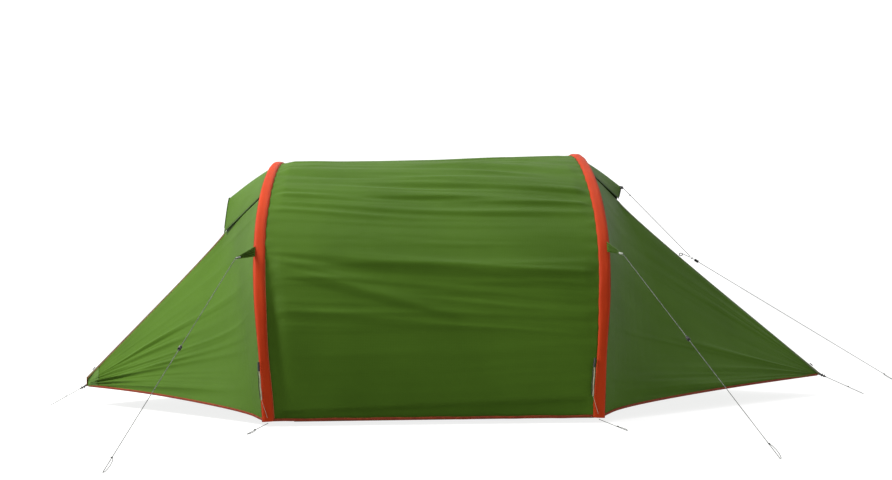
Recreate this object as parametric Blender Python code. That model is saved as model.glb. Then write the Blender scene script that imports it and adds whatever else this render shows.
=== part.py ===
"""Lightweight two-arch tunnel tent: air-beam arches, flysheet with a porch at each end, inner tent, guy lines.

+X runs along the tunnel from the small porch to the large one, +Y away from the side with the doors, +Z up.
The origin is on the ground, midway between the two porch tips. Metres.
"""

import bpy
from math import atan2, cos, pi, sin
from mathutils import Matrix, Vector

# ---- driving dimensions -------------------------------------------------------------------------
FLY = 0.003  # flysheet solids, thickness
LINER = 0.002  # inner tent solids, thickness
GAP = 0.004  # between neighbouring panels
HEM_Z = 0.020  # lower edge of the flysheet
TAPE_HEIGHT = 0.012
ARCH_POWER = 2.15  # the arch is a superellipse, a little squarer than a half ellipse
BEAM_R = 0.0165
SLEEVE_OUT_R = 0.0235
SLEEVE_IN_R = 0.0210
ARCH_STEPS = 36
TIP_X = 1.615  # both porch tips
DOOR_FRACTION = 0.10  # where the door's hinge line starts, along the hem from the foot to the tip
TAB_Z = 0.650  # guy-out points on the arches
TAB_HALF = 0.020
CORD_R = 0.0012
CORD_TOUCH = 0.0003
GROUND = 0.0002  # lowest point of a cord that lies on the ground
REAR_PEG_Y = 2.250  # the rear guy lines are pegged closer in than the front ones

INNER_X = (-0.640, 0.460)
INNER_HALF = 1.030
FLOOR_HALF = 0.965
INNER_HEIGHT = 0.975
TUB_HEIGHT = 0.100
INNER_DOOR_HALF = 0.380
INNER_DOOR_Z = (0.145, 0.800)

SIDES = {
    "left": {
        "sign": -1, "arch_x": -0.722, "lean": 0.032, "bow": 0.027, "height": 1.038, "half": 1.140,
        "ridge_top": (-1.005, 0.750), "vent_z": 0.875, "hood_z": 0.888,
        "rim": {"x": -0.984, "foot_x": -1.003, "foot_z": 0.765, "top_z": 0.900, "half": 0.050},
        "tip_z": (0.082, 0.122),
        "guy_peg": (-1.090, 2.520), "foot_peg": (-0.775, 1.440), "tip_peg_x": -1.775, "runner": 0.483,
        "tab_point": (-0.850, 1.050, 0.630), "strap_aside": (-0.018, -0.027),
    },
    "right": {
        "sign": 1, "arch_x": 0.509, "lean": 0.025, "bow": 0.036, "height": 1.058, "half": 1.165,
        "ridge_top": (0.735, 0.870), "vent_z": 0.955, "hood_z": 0.967,
        "rim": {"x": 0.748, "foot_x": 0.7345, "foot_z": 0.895, "top_z": 0.931, "half": 0.032},
        "tip_z": (0.088, 0.100),
        "guy_peg": (0.922, 2.420), "foot_peg": (0.575, 1.500), "tip_peg_x": 1.815, "runner": 0.47,
        "tab_point": (0.622, 1.080, 0.628), "strap_aside": (-0.026, -0.020),
    },
}
VENT_GUY_JOINT = Vector((1.062, 0.010, 0.612))
VENT_GUY_PEG = Vector((2.180, 0.800, 0.0014))
RIDGE_LOOP = Vector((1.018, 0.006, 0.633))

COLOURS = {
    "fly": ((0.10, 0.26, 0.04, 1), 0.55), "fly_dark": ((0.06, 0.16, 0.03, 1), 0.55),
    "sleeve": ((0.55, 0.09, 0.03, 1), 0.60), "beam": ((0.75, 0.78, 0.80, 1), 0.35),
    "valve": ((0.03, 0.03, 0.03, 1), 0.45), "mesh": ((0.02, 0.02, 0.02, 1), 0.80),
    "tape": ((0.42, 0.06, 0.02, 1), 0.65), "floor": ((0.08, 0.09, 0.09, 1), 0.50),
    "liner": ((0.62, 0.60, 0.50, 1), 0.70), "zip": ((0.15, 0.15, 0.14, 1), 0.40),
    "cord": ((0.45, 0.46, 0.44, 1), 0.70), "runner": ((0.04, 0.04, 0.04, 1), 0.40),
    "webbing": ((0.50, 0.48, 0.40, 1), 0.80),
}


# ---- helpers ------------------------------------------------------------------------------------
def clear_scene():
    for found in list(bpy.data.objects):
        bpy.data.objects.remove(found, do_unlink=True)


def material(kind):
    found = bpy.data.materials.get(kind)
    if found:
        return found
    colour, roughness = COLOURS[kind]
    made = bpy.data.materials.new(kind)
    made.use_nodes = True
    shader = made.node_tree.nodes["Principled BSDF"]
    shader.inputs["Base Color"].default_value = colour
    shader.inputs["Roughness"].default_value = roughness
    return made


def place(name, mesh, kind, smooth=True):
    if smooth:
        mesh.shade_smooth()
    made = bpy.data.objects.new(name, mesh)
    bpy.context.scene.collection.objects.link(made)
    made.data.materials.append(material(kind))
    return made


def mesh_from(name, points, faces):
    mesh = bpy.data.meshes.new(name)
    mesh.from_pydata([tuple(p) for p in points], [], faces)
    mesh.update()
    return mesh


def set_origin(piece, point):
    """Moves the object's origin to a point on its joint, and leaves its shape where it is."""
    piece.data.transform(Matrix.Translation(-Vector(point)))
    piece.location = point


def sheet(name, rows, kind, thickness):
    """A thin closed panel about a grid of points: each row runs the same way and has as many points."""
    wide = len(rows[0])
    points = [p for row in rows for p in row]
    faces = [
        (r * wide + c, r * wide + c + 1, (r + 1) * wide + c + 1, (r + 1) * wide + c)
        for r in range(len(rows) - 1)
        for c in range(wide - 1)
    ]
    made = place(name, mesh_from(name, points, faces), kind)
    return thicken(made, thickness)


def thicken(piece, thickness):
    solid = piece.modifiers.new("thickness", "SOLIDIFY")
    solid.thickness = thickness
    solid.offset = 0
    solid.use_even_offset = False
    return piece


def ring_faces(first, second, count, flip=False):
    """Quads between two rings of points that start at these indices."""
    faces = []
    for k in range(count):
        n = (k + 1) % count
        quad = (first + k, first + n, second + n, second + k)
        faces.append(tuple(reversed(quad)) if flip else quad)
    return faces


def frames_along(points):
    """(point, side, up) at each point of a path, square to the path, with side as near to +X as it can be."""
    found = []
    for k, point in enumerate(points):
        ahead = points[min(k + 1, len(points) - 1)] - points[max(k - 1, 0)]
        ahead.normalize()
        guide = Vector((1, 0, 0)) if abs(ahead.x) < 0.9 else Vector((0, 1, 0))
        side = (guide - ahead * guide.dot(ahead)).normalized()
        found.append((point, side, side.cross(ahead)))
    return found


def sweep(name, points, outline, kind, bore=None):
    """A solid along a path. outline and bore are lists of (side, up) offsets; a bore makes it a tube."""
    count, rings, verts, faces = len(outline), len(points), [], []
    for shape in [outline] + ([bore] if bore else []):
        for point, side, up in frames_along(points):
            verts += [point + side * s + up * u for s, u in shape]
    for k in range(rings - 1):
        faces += ring_faces(k * count, (k + 1) * count, count, flip=True)
    last = (rings - 1) * count
    if bore:
        inner = rings * count
        for k in range(rings - 1):
            faces += ring_faces(inner + k * count, inner + (k + 1) * count, count)
        faces += ring_faces(0, inner, count) + ring_faces(last, inner + last, count, flip=True)
    else:
        faces += [tuple(range(count)), tuple(last + k for k in reversed(range(count)))]
    mesh = mesh_from(name, verts, faces)
    made = place(name, mesh, kind)
    mesh.set_sharp_from_angle(angle=0.7)
    return made


def circle(radius, count=12):
    return [(radius * cos(2 * pi * k / count), radius * sin(2 * pi * k / count)) for k in range(count)]


def rectangle(wide, high):
    return [(-wide / 2, -high / 2), (wide / 2, -high / 2), (wide / 2, high / 2), (-wide / 2, high / 2)]


def between(start, end, share):
    return Vector(start).lerp(Vector(end), share)


def mirror_y(point):
    return Vector((point[0], -point[1], point[2]))


def cord(name, points, kind="cord"):
    """A cord through its route's points, smoothed, as a curve with filled caps."""
    route = smooth_route(points)
    data = bpy.data.curves.new(name, "CURVE")
    data.dimensions = "3D"
    data.bevel_depth = CORD_R
    data.bevel_resolution = 2
    data.use_fill_caps = True
    data.resolution_u = 1
    data.render_resolution_u = 0
    line = data.splines.new("POLY")
    line.points.add(len(route) - 1)
    for dot, point in zip(line.points, route):
        dot.co = (*point, 1)
    made = bpy.data.objects.new(name, data)
    bpy.context.scene.collection.objects.link(made)
    made.data.materials.append(material(kind))
    return made


def smooth_route(points, steps=6):
    """Points of a Catmull-Rom curve through the route's own points; a straight line stays as it is."""
    points = [Vector(p) for p in points]
    if len(points) == 2:
        return points
    padded = [points[0] * 2 - points[1], *points, points[-1] * 2 - points[-2]]
    route = []
    for k in range(1, len(padded) - 2):
        a, b, c, d = padded[k - 1 : k + 3]
        for step in range(steps):
            t = step / steps
            route.append(
                0.5 * (2 * b + (c - a) * t + (2 * a - 5 * b + 4 * c - d) * t * t + (3 * b - a - 3 * c + d) * t**3)
            )
    return route + [points[-1]]


# ---- the arches ---------------------------------------------------------------------------------
def arch_x(side, z):
    """An arch leans out towards its porch, and bows out most at 0.6 of its height, where the guy lines pull."""
    share = max(0.0, min(z / side["height"], 1.0))
    return side["arch_x"] + side["sign"] * (side["lean"] * share + side["bow"] * sin(pi * share**1.5))


def arch_point(side, angle, aside=0.0):
    """A point of the arch's centre line; angle runs from the door-side foot over the top to the other foot."""
    c, s = cos(angle), max(sin(angle), 0.0)
    y = -side["half"] * (1 if c > 0 else -1) * abs(c) ** (2 / ARCH_POWER)
    z = side["height"] * s ** (2 / ARCH_POWER)
    return Vector((arch_x(side, z) + aside, y, z))


def arch_angle(side, z):
    """The angle at which the door-side half of the arch reaches this height."""
    s = (z / side["height"]) ** (ARCH_POWER / 2)
    return atan2(s, (1 - s * s) ** 0.5)


def arch_run(side, low_angle, high_angle, steps, aside=0.0):
    return [
        arch_point(side, low_angle + (high_angle - low_angle) * k / steps, aside) for k in range(steps + 1)
    ]


def make_arches():
    for name, side in SIDES.items():
        foot = arch_angle(side, HEM_Z)
        end = arch_angle(side, HEM_Z + 0.075)
        sweep(f"air_beam_{name}", arch_run(side, end, pi - end, ARCH_STEPS), circle(BEAM_R), "beam")
        run = arch_run(side, foot, pi - foot, ARCH_STEPS)
        sweep(f"arch_sleeve_{name}", run, circle(SLEEVE_OUT_R), "sleeve", circle(SLEEVE_IN_R))
        make_valve(name, side, arch_point(side, end))


def make_valve(name, side, beam_end):
    """The inflation valve hangs from the beam's lower end, inside the open foot of the sleeve. It is set
    in a little, towards the tunnel, so that its cap pulls straight down past the leaning sleeve."""
    top = beam_end - Vector((side["sign"] * 0.003, 0.0006, 0.0022))
    low = top - Vector((0, 0.0012, 0.026))
    sweep(f"valve_{name}", [low, top], circle(0.0105), "valve")
    cap_top = low - Vector((0, 0, 0.0006))
    cap = sweep(f"valve_cap_{name}", [cap_top - Vector((0, 0, 0.012)), cap_top], circle(0.0125), "valve")
    set_origin(cap, cap_top)


# ---- the flysheet -------------------------------------------------------------------------------
def tunnel_rows(low_angles, steps_around, steps_along):
    """Rows from the left arch to the right one, between two angles given for each arch."""
    rows = []
    for k in range(steps_around + 1):
        ends = []
        for name, (low, high) in zip(SIDES, low_angles):
            side = SIDES[name]
            aside = -side["sign"] * (SLEEVE_OUT_R + GAP)
            ends.append(arch_point(side, low + (high - low) * k / steps_around, aside))
        rows.append([between(*ends, c / steps_along) for c in range(steps_along + 1)])
    return rows


def make_tunnel():
    wall_top = 0.800
    apart = 0.003
    foot = [arch_angle(s, HEM_Z + TAPE_HEIGHT + 0.002) for s in SIDES.values()]
    top = [arch_angle(s, wall_top) for s in SIDES.values()]
    front = list(zip(foot, top))
    rear = [(pi - high, pi - low) for low, high in front]
    roof = [(high + apart, pi - high - apart) for _, high in front]
    sheet("fly_front_wall", tunnel_rows(front, 10, 4), "fly_dark", FLY)
    sheet("fly_roof", tunnel_rows(roof, 12, 4), "fly", FLY)
    sheet("fly_rear_wall", tunnel_rows(rear, 10, 4), "fly_dark", FLY)
    for label, mirrored in (("front", False), ("rear", True)):
        ends = []
        for side in SIDES.values():
            point = arch_point(side, arch_angle(side, HEM_Z), -side["sign"] * (SLEEVE_OUT_R + GAP))
            point.z = HEM_Z + TAPE_HEIGHT / 2
            ends.append(mirror_y(point) if mirrored else point)
        line = [between(*ends, k / 4) for k in range(5)]
        tape = sweep(f"hem_tape_{label}", line, rectangle(0.004, TAPE_HEIGHT), "tape")
        tape.data.shade_flat()


def hinge_line(side):
    """Low and high end of the straight line that the porch door turns on."""
    foot = Vector((side["arch_x"], -side["half"], HEM_Z + 0.006))
    tip = Vector((side["sign"] * TIP_X, 0, side["tip_z"][0]))
    x, z = side["ridge_top"]
    return between(foot, tip, DOOR_FRACTION), Vector((x, -0.004, z))


def gusset_rows(side, steps_up=10, steps_out=3):
    """The fixed panel between the arch and the door's hinge line."""
    low, high = hinge_line(side)
    run = arch_run(
        side, arch_angle(side, HEM_Z + 0.006), arch_angle(side, side["vent_z"]), steps_up,
        side["sign"] * (SLEEVE_OUT_R + GAP),
    )
    return [
        [between(point, between(low, high, k / steps_up), c / steps_out) for c in range(steps_out + 1)]
        for k, point in enumerate(run)
    ]


def make_porch(name, side):
    low, high = hinge_line(side)
    tip_low, tip_high = (Vector((side["sign"] * TIP_X, -0.004, z)) for z in side["tip_z"])
    gusset = gusset_rows(side)
    sheet(f"porch_gusset_{name}", gusset, "fly", FLY)

    out = Vector((side["sign"] * GAP * 1.6, 0, 0))
    steps_up, steps_out = 10, 6
    door_rows = []
    for k in range(steps_up + 1):
        share = k / steps_up
        start = between(low, high, share) + out
        door_rows.append(
            [between(start, between(tip_low, tip_high, share), c / steps_out) for c in range(steps_out + 1)]
        )
    door = sheet(f"porch_door_{name}", door_rows, "fly", FLY)
    set_origin(door, low)

    rear_rows = []
    for k, row in enumerate(gusset):
        edge = between(tip_low, tip_high, k / (len(gusset) - 1))
        beyond = [between(row[-1], edge, c / steps_out) for c in range(1, steps_out + 1)]
        rear_rows.append([mirror_y(p) for p in row + beyond])
    sheet(f"porch_rear_{name}", rear_rows, "fly", FLY)


def rim_point(side, share, shrink=0.0):
    """The hood's mouth: an upturned U, from its door-side foot over the top to the other foot."""
    rim = side["rim"]
    half, high = rim["half"] - shrink, rim["top_z"] - rim["foot_z"] - shrink
    angle = pi * share
    rise = sin(angle) ** 0.8
    x = rim["foot_x"] + (rim["x"] - rim["foot_x"]) * rise
    return Vector((x, -half * cos(angle), rim["foot_z"] + high * rise))


def make_vent(name, side):
    low = arch_angle(side, side["hood_z"])
    steps_over, steps_out = 20, 4
    rows = []
    for k in range(steps_over + 1):
        share = k / steps_over
        start = arch_point(side, low + (pi - 2 * low) * share, side["sign"] * (SLEEVE_OUT_R + GAP))
        rows.append([between(start, rim_point(side, share), c / steps_out) for c in range(steps_out + 1)])
    sheet(f"vent_hood_{name}", rows, "fly", FLY)

    corner = arch_point(side, arch_angle(side, side["vent_z"]), side["sign"] * (SLEEVE_OUT_R + GAP))
    corner += Vector((0, 0.030, 0.002))
    x, z = side["ridge_top"]
    point = Vector((x - side["sign"] * 0.035, -0.010, z + 0.012))
    steps = 6
    mesh_rows = [
        [between(between(corner, mirror_y(corner), k / steps), between(point, mirror_y(point), k / steps), c / 4)
         for c in range(5)]
        for k in range(steps + 1)
    ]
    sheet(f"vent_mesh_{name}", mesh_rows, "mesh", 0.0015)

    pivot = Vector((side["rim"]["x"] - side["sign"] * 0.012, 0, side["rim"]["top_z"] - 0.012))
    length = 0.075 if name == "left" else 0.022
    strut = sweep(
        f"vent_strut_{name}", [pivot - Vector((0, 0, length)), pivot], rectangle(0.003, 0.012), "valve"
    )
    strut.data.shade_flat()
    set_origin(strut, pivot)


def make_zip_slider(name, side):
    """The slider of the door's zip, which runs along the ridge on its far side."""
    x, z = side["ridge_top"]
    top = Vector((x, 0, z))
    tip = Vector((side["sign"] * TIP_X, 0, side["tip_z"][1]))
    along = (top - tip).normalized()
    lift = Vector((0, 0.010, 0.009))
    start = tip + along * 0.030 + lift
    slider = sweep(f"zip_slider_{name}", [start, start + along * 0.016], rectangle(0.007, 0.010), "zip")
    slider.data.shade_flat()
    set_origin(slider, start)


# ---- the inner tent -----------------------------------------------------------------------------
def inner_outline(share, shrink=0.0):
    """The inner tent's arch, from the door-side floor edge over the top; share runs 0 to 1."""
    low = atan2((TUB_HEIGHT + 0.003) / INNER_HEIGHT, 1)
    angle = low + (pi - 2 * low) * share
    c, s = cos(angle), sin(angle)
    y = -(INNER_HALF - shrink) * (1 if c > 0 else -1) * abs(c) ** (2 / ARCH_POWER)
    return y, (INNER_HEIGHT - shrink) * s ** (2 / ARCH_POWER)


def inner_door_point(share, shrink=0.0):
    """The D-shaped doorway's edge, anticlockwise from the middle of its sill; share runs 0 to 1."""
    low, high = INNER_DOOR_Z
    half, middle = INNER_DOOR_HALF - shrink, (low + high) / 2
    angle = 2 * pi * share - pi / 2
    c, s = cos(angle), sin(angle)
    y = half * (1 if c > 0 else -1) * abs(c) ** 0.5
    return y, middle + ((high - low) / 2 - shrink) * (1 if s > 0 else -1) * abs(s) ** 0.5


def make_tub():
    """A tray whose end walls lean out from the floor."""
    (x0, x1), wall, high = INNER_X, LINER, TUB_HEIGHT
    lean = (INNER_HALF - FLOOR_HALF) * wall / high
    levels = [(0, FLOOR_HALF, 0), (high, INNER_HALF, 0), (high, INNER_HALF, wall), (wall, FLOOR_HALF + lean, wall)]
    verts = []
    for z, half, inset in levels:
        y = half - inset
        verts += [(x0 + inset, -y, z), (x1 - inset, -y, z), (x1 - inset, y, z), (x0 + inset, y, z)]
    faces = [(3, 2, 1, 0), (12, 13, 14, 15)]
    for ring in (0, 4, 8):
        faces += ring_faces(ring, ring + 4, 4)
    place("groundsheet_tub", mesh_from("groundsheet_tub", verts, faces), "floor", smooth=False)


def make_inner_tent():
    make_tub()
    (x0, x1), around = INNER_X, 22
    rows = []
    for k in range(around + 1):
        y, z = inner_outline(k / around)
        rows.append([Vector((x0 + (x1 - x0) * c / 3, y, z)) for c in range(4)])
    sheet("inner_canopy", rows, "liner", LINER)
    for name, x in (("left", x0 - 0.003), ("right", x1 + 0.003)):
        make_inner_end(name, x)


def make_inner_end(name, x):
    """A flat end wall with a D-shaped doorway, and the door that hangs in it."""
    count = 40
    outer = []
    for k in range(count):
        y, z = inner_door_point(k / count)
        outer.append(Vector((x, *project_out(y, z))))
    edge = [Vector((x, *inner_door_point(k / count))) for k in range(count)]
    faces = ring_faces(0, count, count)
    thicken(place(f"inner_end_{name}", mesh_from(f"inner_end_{name}", outer + edge, faces), "liner"), LINER)
    panel = [Vector((x, *inner_door_point(k / count, 0.006))) for k in range(count)]
    panel.append(Vector((x, 0, sum(INNER_DOOR_Z) / 2)))
    fan = [(k, (k + 1) % count, count) for k in range(count)]
    door = thicken(place(f"inner_door_{name}", mesh_from(f"inner_door_{name}", panel, fan), "mesh"), LINER)
    turn_y = INNER_DOOR_HALF - 0.006
    set_origin(door, (x, turn_y if name == "left" else -turn_y, sum(INNER_DOOR_Z) / 2))


def project_out(y, z):
    """Carries a doorway point straight out from the doorway's middle to the end wall's outline."""
    middle = sum(INNER_DOOR_Z) / 2
    direction = Vector((y, z - middle)).normalized()
    floor = TUB_HEIGHT + 0.003
    low, high = 0.0, 2.0
    for _ in range(40):
        reach = (low + high) / 2
        py, pz = direction.x * reach, middle + direction.y * reach
        inside = pz > floor and (abs(py) / INNER_HALF) ** ARCH_POWER + (pz / INNER_HEIGHT) ** ARCH_POWER < 1
        low, high = (reach, high) if inside else (low, reach)
    return direction.x * low, middle + direction.y * low


# ---- guy lines, tabs, pegging cords -------------------------------------------------------------
def guy_ends(side):
    """The tab's lower and upper corners beside the sleeve, its point, where the cord starts, and the peg."""
    x, y, z = side["tab_point"]
    point = Vector((x, -y, z))
    lower, upper = (arch_point(side, arch_angle(side, TAB_Z + rise)) for rise in (-TAB_HALF, TAB_HALF))
    slope = (upper - lower).normalized()
    out = point - (lower + upper) / 2
    clear = (out - slope * out.dot(slope)).normalized() * (SLEEVE_OUT_R + 0.003)
    peg = Vector((side["guy_peg"][0], -side["guy_peg"][1], CORD_R + GROUND))
    return [lower + clear, upper + clear], point, peg


def make_runner(name, point, along):
    """A line-lock that slides on a guy line: a short ring, clear of the cord."""
    half = along * 0.011
    ring = sweep(name, [point - half, point + half], circle(0.0075, 10), "runner", circle(0.0040, 10))
    set_origin(ring, point)


def make_guys(name, side):
    corners, end, peg = guy_ends(side)
    rear_peg = Vector((peg.x, REAR_PEG_Y, peg.z))
    for label, flip, c in (("front", Vector, peg), ("rear", mirror_y, rear_peg)):
        b = flip(end)
        along = (c - b).normalized()
        tab_rows = []
        for corner, rise in zip(corners, (-TAB_HALF, TAB_HALF)):
            point = b + Vector((0, 0, rise * 0.25))
            tab_rows.append([between(flip(corner), point, share) for share in (0, 0.5, 1)])
        sheet(f"guy_tab_{label}_{name}", tab_rows, "fly", 0.002)
        cord(f"guy_line_{label}_{name}", [b + along * (CORD_TOUCH + 0.003), c])
        make_runner(f"runner_{label}_{name}", between(b, c, side["runner"]), along)
    for label, flip in (("front", Vector), ("rear", mirror_y)):
        x, y = side["foot_peg"]
        start = Vector((side["arch_x"], -side["half"] - SLEEVE_OUT_R - 0.006, HEM_Z - 0.004))
        peg_at = Vector((x, -y, CORD_R + GROUND))
        cord(f"peg_cord_{label}_{name}", [flip(start), flip(peg_at)])


def make_tip(name, side):
    sign = side["sign"]
    start = Vector((sign * (TIP_X + 0.006), 0, side["tip_z"][0] + 0.003))
    peg = Vector((side["tip_peg_x"], 0, CORD_R + GROUND))
    along = (peg - start).normalized()
    lock = sweep(f"tip_buckle_{name}", [start, start + along * 0.030], rectangle(0.005, 0.018), "runner")
    lock.data.shade_flat()
    cord(f"tip_cord_{name}", [start + along * (0.030 + CORD_TOUCH + 0.001), peg])


def make_vent_guy(side):
    """The line from the large porch's hood, held down to a loop on the ridge, and out to the ground."""
    start = Vector((side["rim"]["x"] + 0.010, 0, side["rim"]["top_z"] - 0.004))
    joint, peg = VENT_GUY_JOINT, VENT_GUY_PEG
    along = (peg - joint).normalized()
    apart = 0.010
    cord("guy_line_vent", [joint + along * apart, peg])
    cord("guy_upper_vent", [start, joint + (start - joint).normalized() * apart])
    loop = RIDGE_LOOP
    cord("guy_link_vent", [joint + (loop - joint).normalized() * apart, loop])
    make_runner("runner_vent", joint + along * (apart + 0.020), along)


def make_foot_strap(name, side):
    """The tension strap and its buckle beside the sleeve's door-side foot."""
    beside = Vector((*side["strap_aside"], 0))
    low, high, steps = arch_angle(side, 0.100), arch_angle(side, 0.240), 5
    run = [p + beside for p in arch_run(side, low, high, steps)]
    strap = sweep(f"foot_strap_{name}", run, rectangle(0.003, 0.010), "webbing")
    strap.data.shade_flat()


def main():
    clear_scene()
    make_arches()
    make_tunnel()
    for name, side in SIDES.items():
        make_porch(name, side)
        make_vent(name, side)
        make_zip_slider(name, side)
        make_guys(name, side)
        make_tip(name, side)
        make_foot_strap(name, side)
    make_vent_guy(SIDES["right"])
    make_inner_tent()


main()
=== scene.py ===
"""The looks of the two-arch tunnel tent: flysheet, sleeves, porches, hoods, trims, cords and inner tent.

Every length is in metres, in the frame of the CAD model.
"""

from math import cos, pi, radians, sin

import bmesh
import bpy
import numpy as np
from mathutils import Matrix, Vector


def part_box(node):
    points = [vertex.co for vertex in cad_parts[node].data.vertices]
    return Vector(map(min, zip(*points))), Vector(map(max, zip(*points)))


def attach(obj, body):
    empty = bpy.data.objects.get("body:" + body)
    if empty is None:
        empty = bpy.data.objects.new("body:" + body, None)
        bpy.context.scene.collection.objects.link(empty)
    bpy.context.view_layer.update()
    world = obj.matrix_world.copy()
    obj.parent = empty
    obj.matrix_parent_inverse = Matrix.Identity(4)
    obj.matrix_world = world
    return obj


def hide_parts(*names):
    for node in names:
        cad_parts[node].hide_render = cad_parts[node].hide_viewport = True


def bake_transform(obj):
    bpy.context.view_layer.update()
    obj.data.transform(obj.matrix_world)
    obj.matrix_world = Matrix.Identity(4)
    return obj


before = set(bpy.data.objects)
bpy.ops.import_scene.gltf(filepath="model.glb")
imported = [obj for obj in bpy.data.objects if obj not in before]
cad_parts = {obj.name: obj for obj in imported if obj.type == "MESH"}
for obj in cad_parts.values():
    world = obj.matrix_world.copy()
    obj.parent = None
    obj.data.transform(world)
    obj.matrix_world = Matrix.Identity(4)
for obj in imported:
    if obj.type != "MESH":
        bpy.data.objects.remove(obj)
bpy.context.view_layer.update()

# ---- dimensions, in step with the CAD -----------------------------------------------------------
SLEEVE_R = 0.0235
ARCH_POWER = 2.15  # of the superellipse that the arches follow
DOOR_FRACTION = 0.10  # of the way from the arch's foot to the tip, where the door's hinge starts
CORD_R = 0.0012
CLOTH_THICK = 0.0006
FLY_LIFT = 0.010  # of the tunnel's edge over the sleeve's centre line
FLY_INSET = SLEEVE_R * 0.75  # from the sleeve's centre line to the edge of the cloth


def arch_side(name, sign, **more):
    """An arch's size, read from its sleeve's box, with the measures of its porch, hood and cords.

    lean and bow shape the arch seen from the front; rim is (x, foot x, foot z, top z, half width) of
    the hood's mouth; tip_z is the porch tip's low and high end; tab is the guy's pull-out point.
    """
    low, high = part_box(f"arch_sleeve_{name}")
    inner = high[0] if sign < 0 else low[0]
    return {
        "name": name, "sign": sign, "arch_x": inner + sign * SLEEVE_R, "half": high[1] - SLEEVE_R,
        "height": high[2] - SLEEVE_R, "hem": low[2], **more,
    }


SIDES = [
    arch_side(
        "left", -1, lean=0.032, bow=0.027, ridge_top=(-1.005, 0.750), vent_z=0.875, hood_z=0.888,
        rim=(-0.984, -1.003, 0.765, 0.900, 0.050), tip_z=(0.082, 0.122), guy_peg=(-1.090, 2.520),
        foot_peg=(-0.775, 1.440), tip_peg=-1.775, tab=(-0.850, 1.050, 0.630), runner=0.483,
        strap=(-0.018, -0.027),
    ),
    arch_side(
        "right", 1, lean=0.025, bow=0.036, ridge_top=(0.735, 0.870), vent_z=0.955, hood_z=0.967,
        rim=(0.748, 0.7345, 0.895, 0.931, 0.032), tip_z=(0.088, 0.100), guy_peg=(0.922, 2.420),
        foot_peg=(0.575, 1.500), tip_peg=1.815, tab=(0.622, 1.080, 0.628), runner=0.47,
        strap=(-0.026, -0.020),
    ),
]
TIP_X = 1.615  # of both porch tips, left and right
VENT_GUY_JOINT = Vector((1.062, 0.010, 0.612))
VENT_GUY_PEG = Vector((2.180, 0.800, 0.0014))
RIDGE_LOOP = Vector((1.018, 0.006, 0.633))
CORD_END_Z = 0.0014
REAR_PEG_Y = 2.250
VENT_GUY_GAP = 0.010  # that each of the three cords stays short of the knot where they meet


# ---- camera, lights, floor ----------------------------------------------------------------------
def make_camera():
    place, lens = Vector((-0.171, -7.532, 0.598)), 68.74
    yaw, pitch, roll = radians(-1.075), radians(-0.817), radians(-0.698)
    ahead = Vector((-sin(yaw) * cos(pitch), cos(yaw) * cos(pitch), -sin(pitch)))
    right = Vector((cos(yaw), sin(yaw), 0))
    up = right.cross(ahead)
    turned_right = right * cos(roll) + up * sin(roll)
    turned_up = up * cos(roll) - right * sin(roll)
    data = bpy.data.cameras.new("camera")
    data.lens, data.sensor_width = lens, 36
    camera = bpy.data.objects.new("camera", data)
    turn = Matrix((turned_right, turned_up, -ahead)).transposed()
    camera.matrix_world = Matrix.Translation(place) @ turn.to_4x4()
    bpy.context.scene.collection.objects.link(camera)
    bpy.context.scene.camera = camera


def make_light(name, place, target, size, power, colour=(1, 1, 1)):
    data = bpy.data.lights.new(name, "AREA")
    data.shape, data.size, data.size_y = "RECTANGLE", size[0], size[1]
    data.energy, data.color = power, colour
    light = bpy.data.objects.new(name, data)
    aim = Vector(target) - Vector(place)
    light.rotation_euler = aim.to_track_quat("-Z", "Y").to_euler()
    light.location = place
    bpy.context.scene.collection.objects.link(light)


def make_plane(name, corners, material):
    """A flat piece of the studio, not of the tent."""
    mesh = bpy.data.meshes.new(name)
    mesh.from_pydata(corners, [], [(0, 1, 2, 3)])
    mesh.materials.append(material)
    plane = bpy.data.objects.new(name, mesh)
    bpy.context.scene.collection.objects.link(plane)


def make_stage():
    """White surroundings: the floor gives off part of its light itself, so that shadows stay faint."""
    world = bpy.data.worlds.new("studio")
    world.use_nodes = True
    set_inputs(world.node_tree.nodes["Background"], Color=(1, 1, 1, 1), Strength=0.74)
    bpy.context.scene.world = world
    bpy.context.scene.view_settings.view_transform = "Standard"
    make_light("key", (-4.6, -0.6, 4.4), (-0.2, 0, 0.4), (1.6, 1.6), 705, (1.0, 0.99, 0.95))
    make_light("top", (0.2, 0.6, 4.2), (0, 0, 0.6), (3.2, 1.6), 110)
    reach, half_wide, high = 30, 60, 25
    ground = [(-reach, -reach, 0), (reach, -reach, 0), (reach, reach, 0), (-reach, reach, 0)]
    behind = [(-half_wide, reach, 0), (half_wide, reach, 0), (half_wide, reach, high)]
    behind.append((-half_wide, reach, high))
    for name, corners, strength in (("floor", ground, 0.84), ("backdrop", behind, 1.0)):
        pale, _, shader = start_material(f"studio_{name}", 0.9)
        glow = {"Emission_Color": (1, 1, 1, 1), "Emission_Strength": strength}
        set_inputs(shader, Base_Color=(0.16, 0.16, 0.16, 1), **glow)
        make_plane(name, corners, pale)


# ---- materials ----------------------------------------------------------------------------------
def set_inputs(node, **values):
    """Constants on a node's own inputs; an underscore stands for a space in the input's name."""
    for key, value in values.items():
        node.inputs[key.replace("_", " ")].default_value = value


def start_material(name, roughness, metallic=0.0):
    made = bpy.data.materials.new(name)
    made.use_nodes = True
    shader = made.node_tree.nodes["Principled BSDF"]
    set_inputs(shader, Roughness=roughness, Metallic=metallic)
    return made, made.node_tree, shader


def noise_node(tree, scale, detail=2.0):
    noise = tree.nodes.new("ShaderNodeTexNoise")
    set_inputs(noise, Scale=scale, Detail=detail)
    return noise


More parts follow.
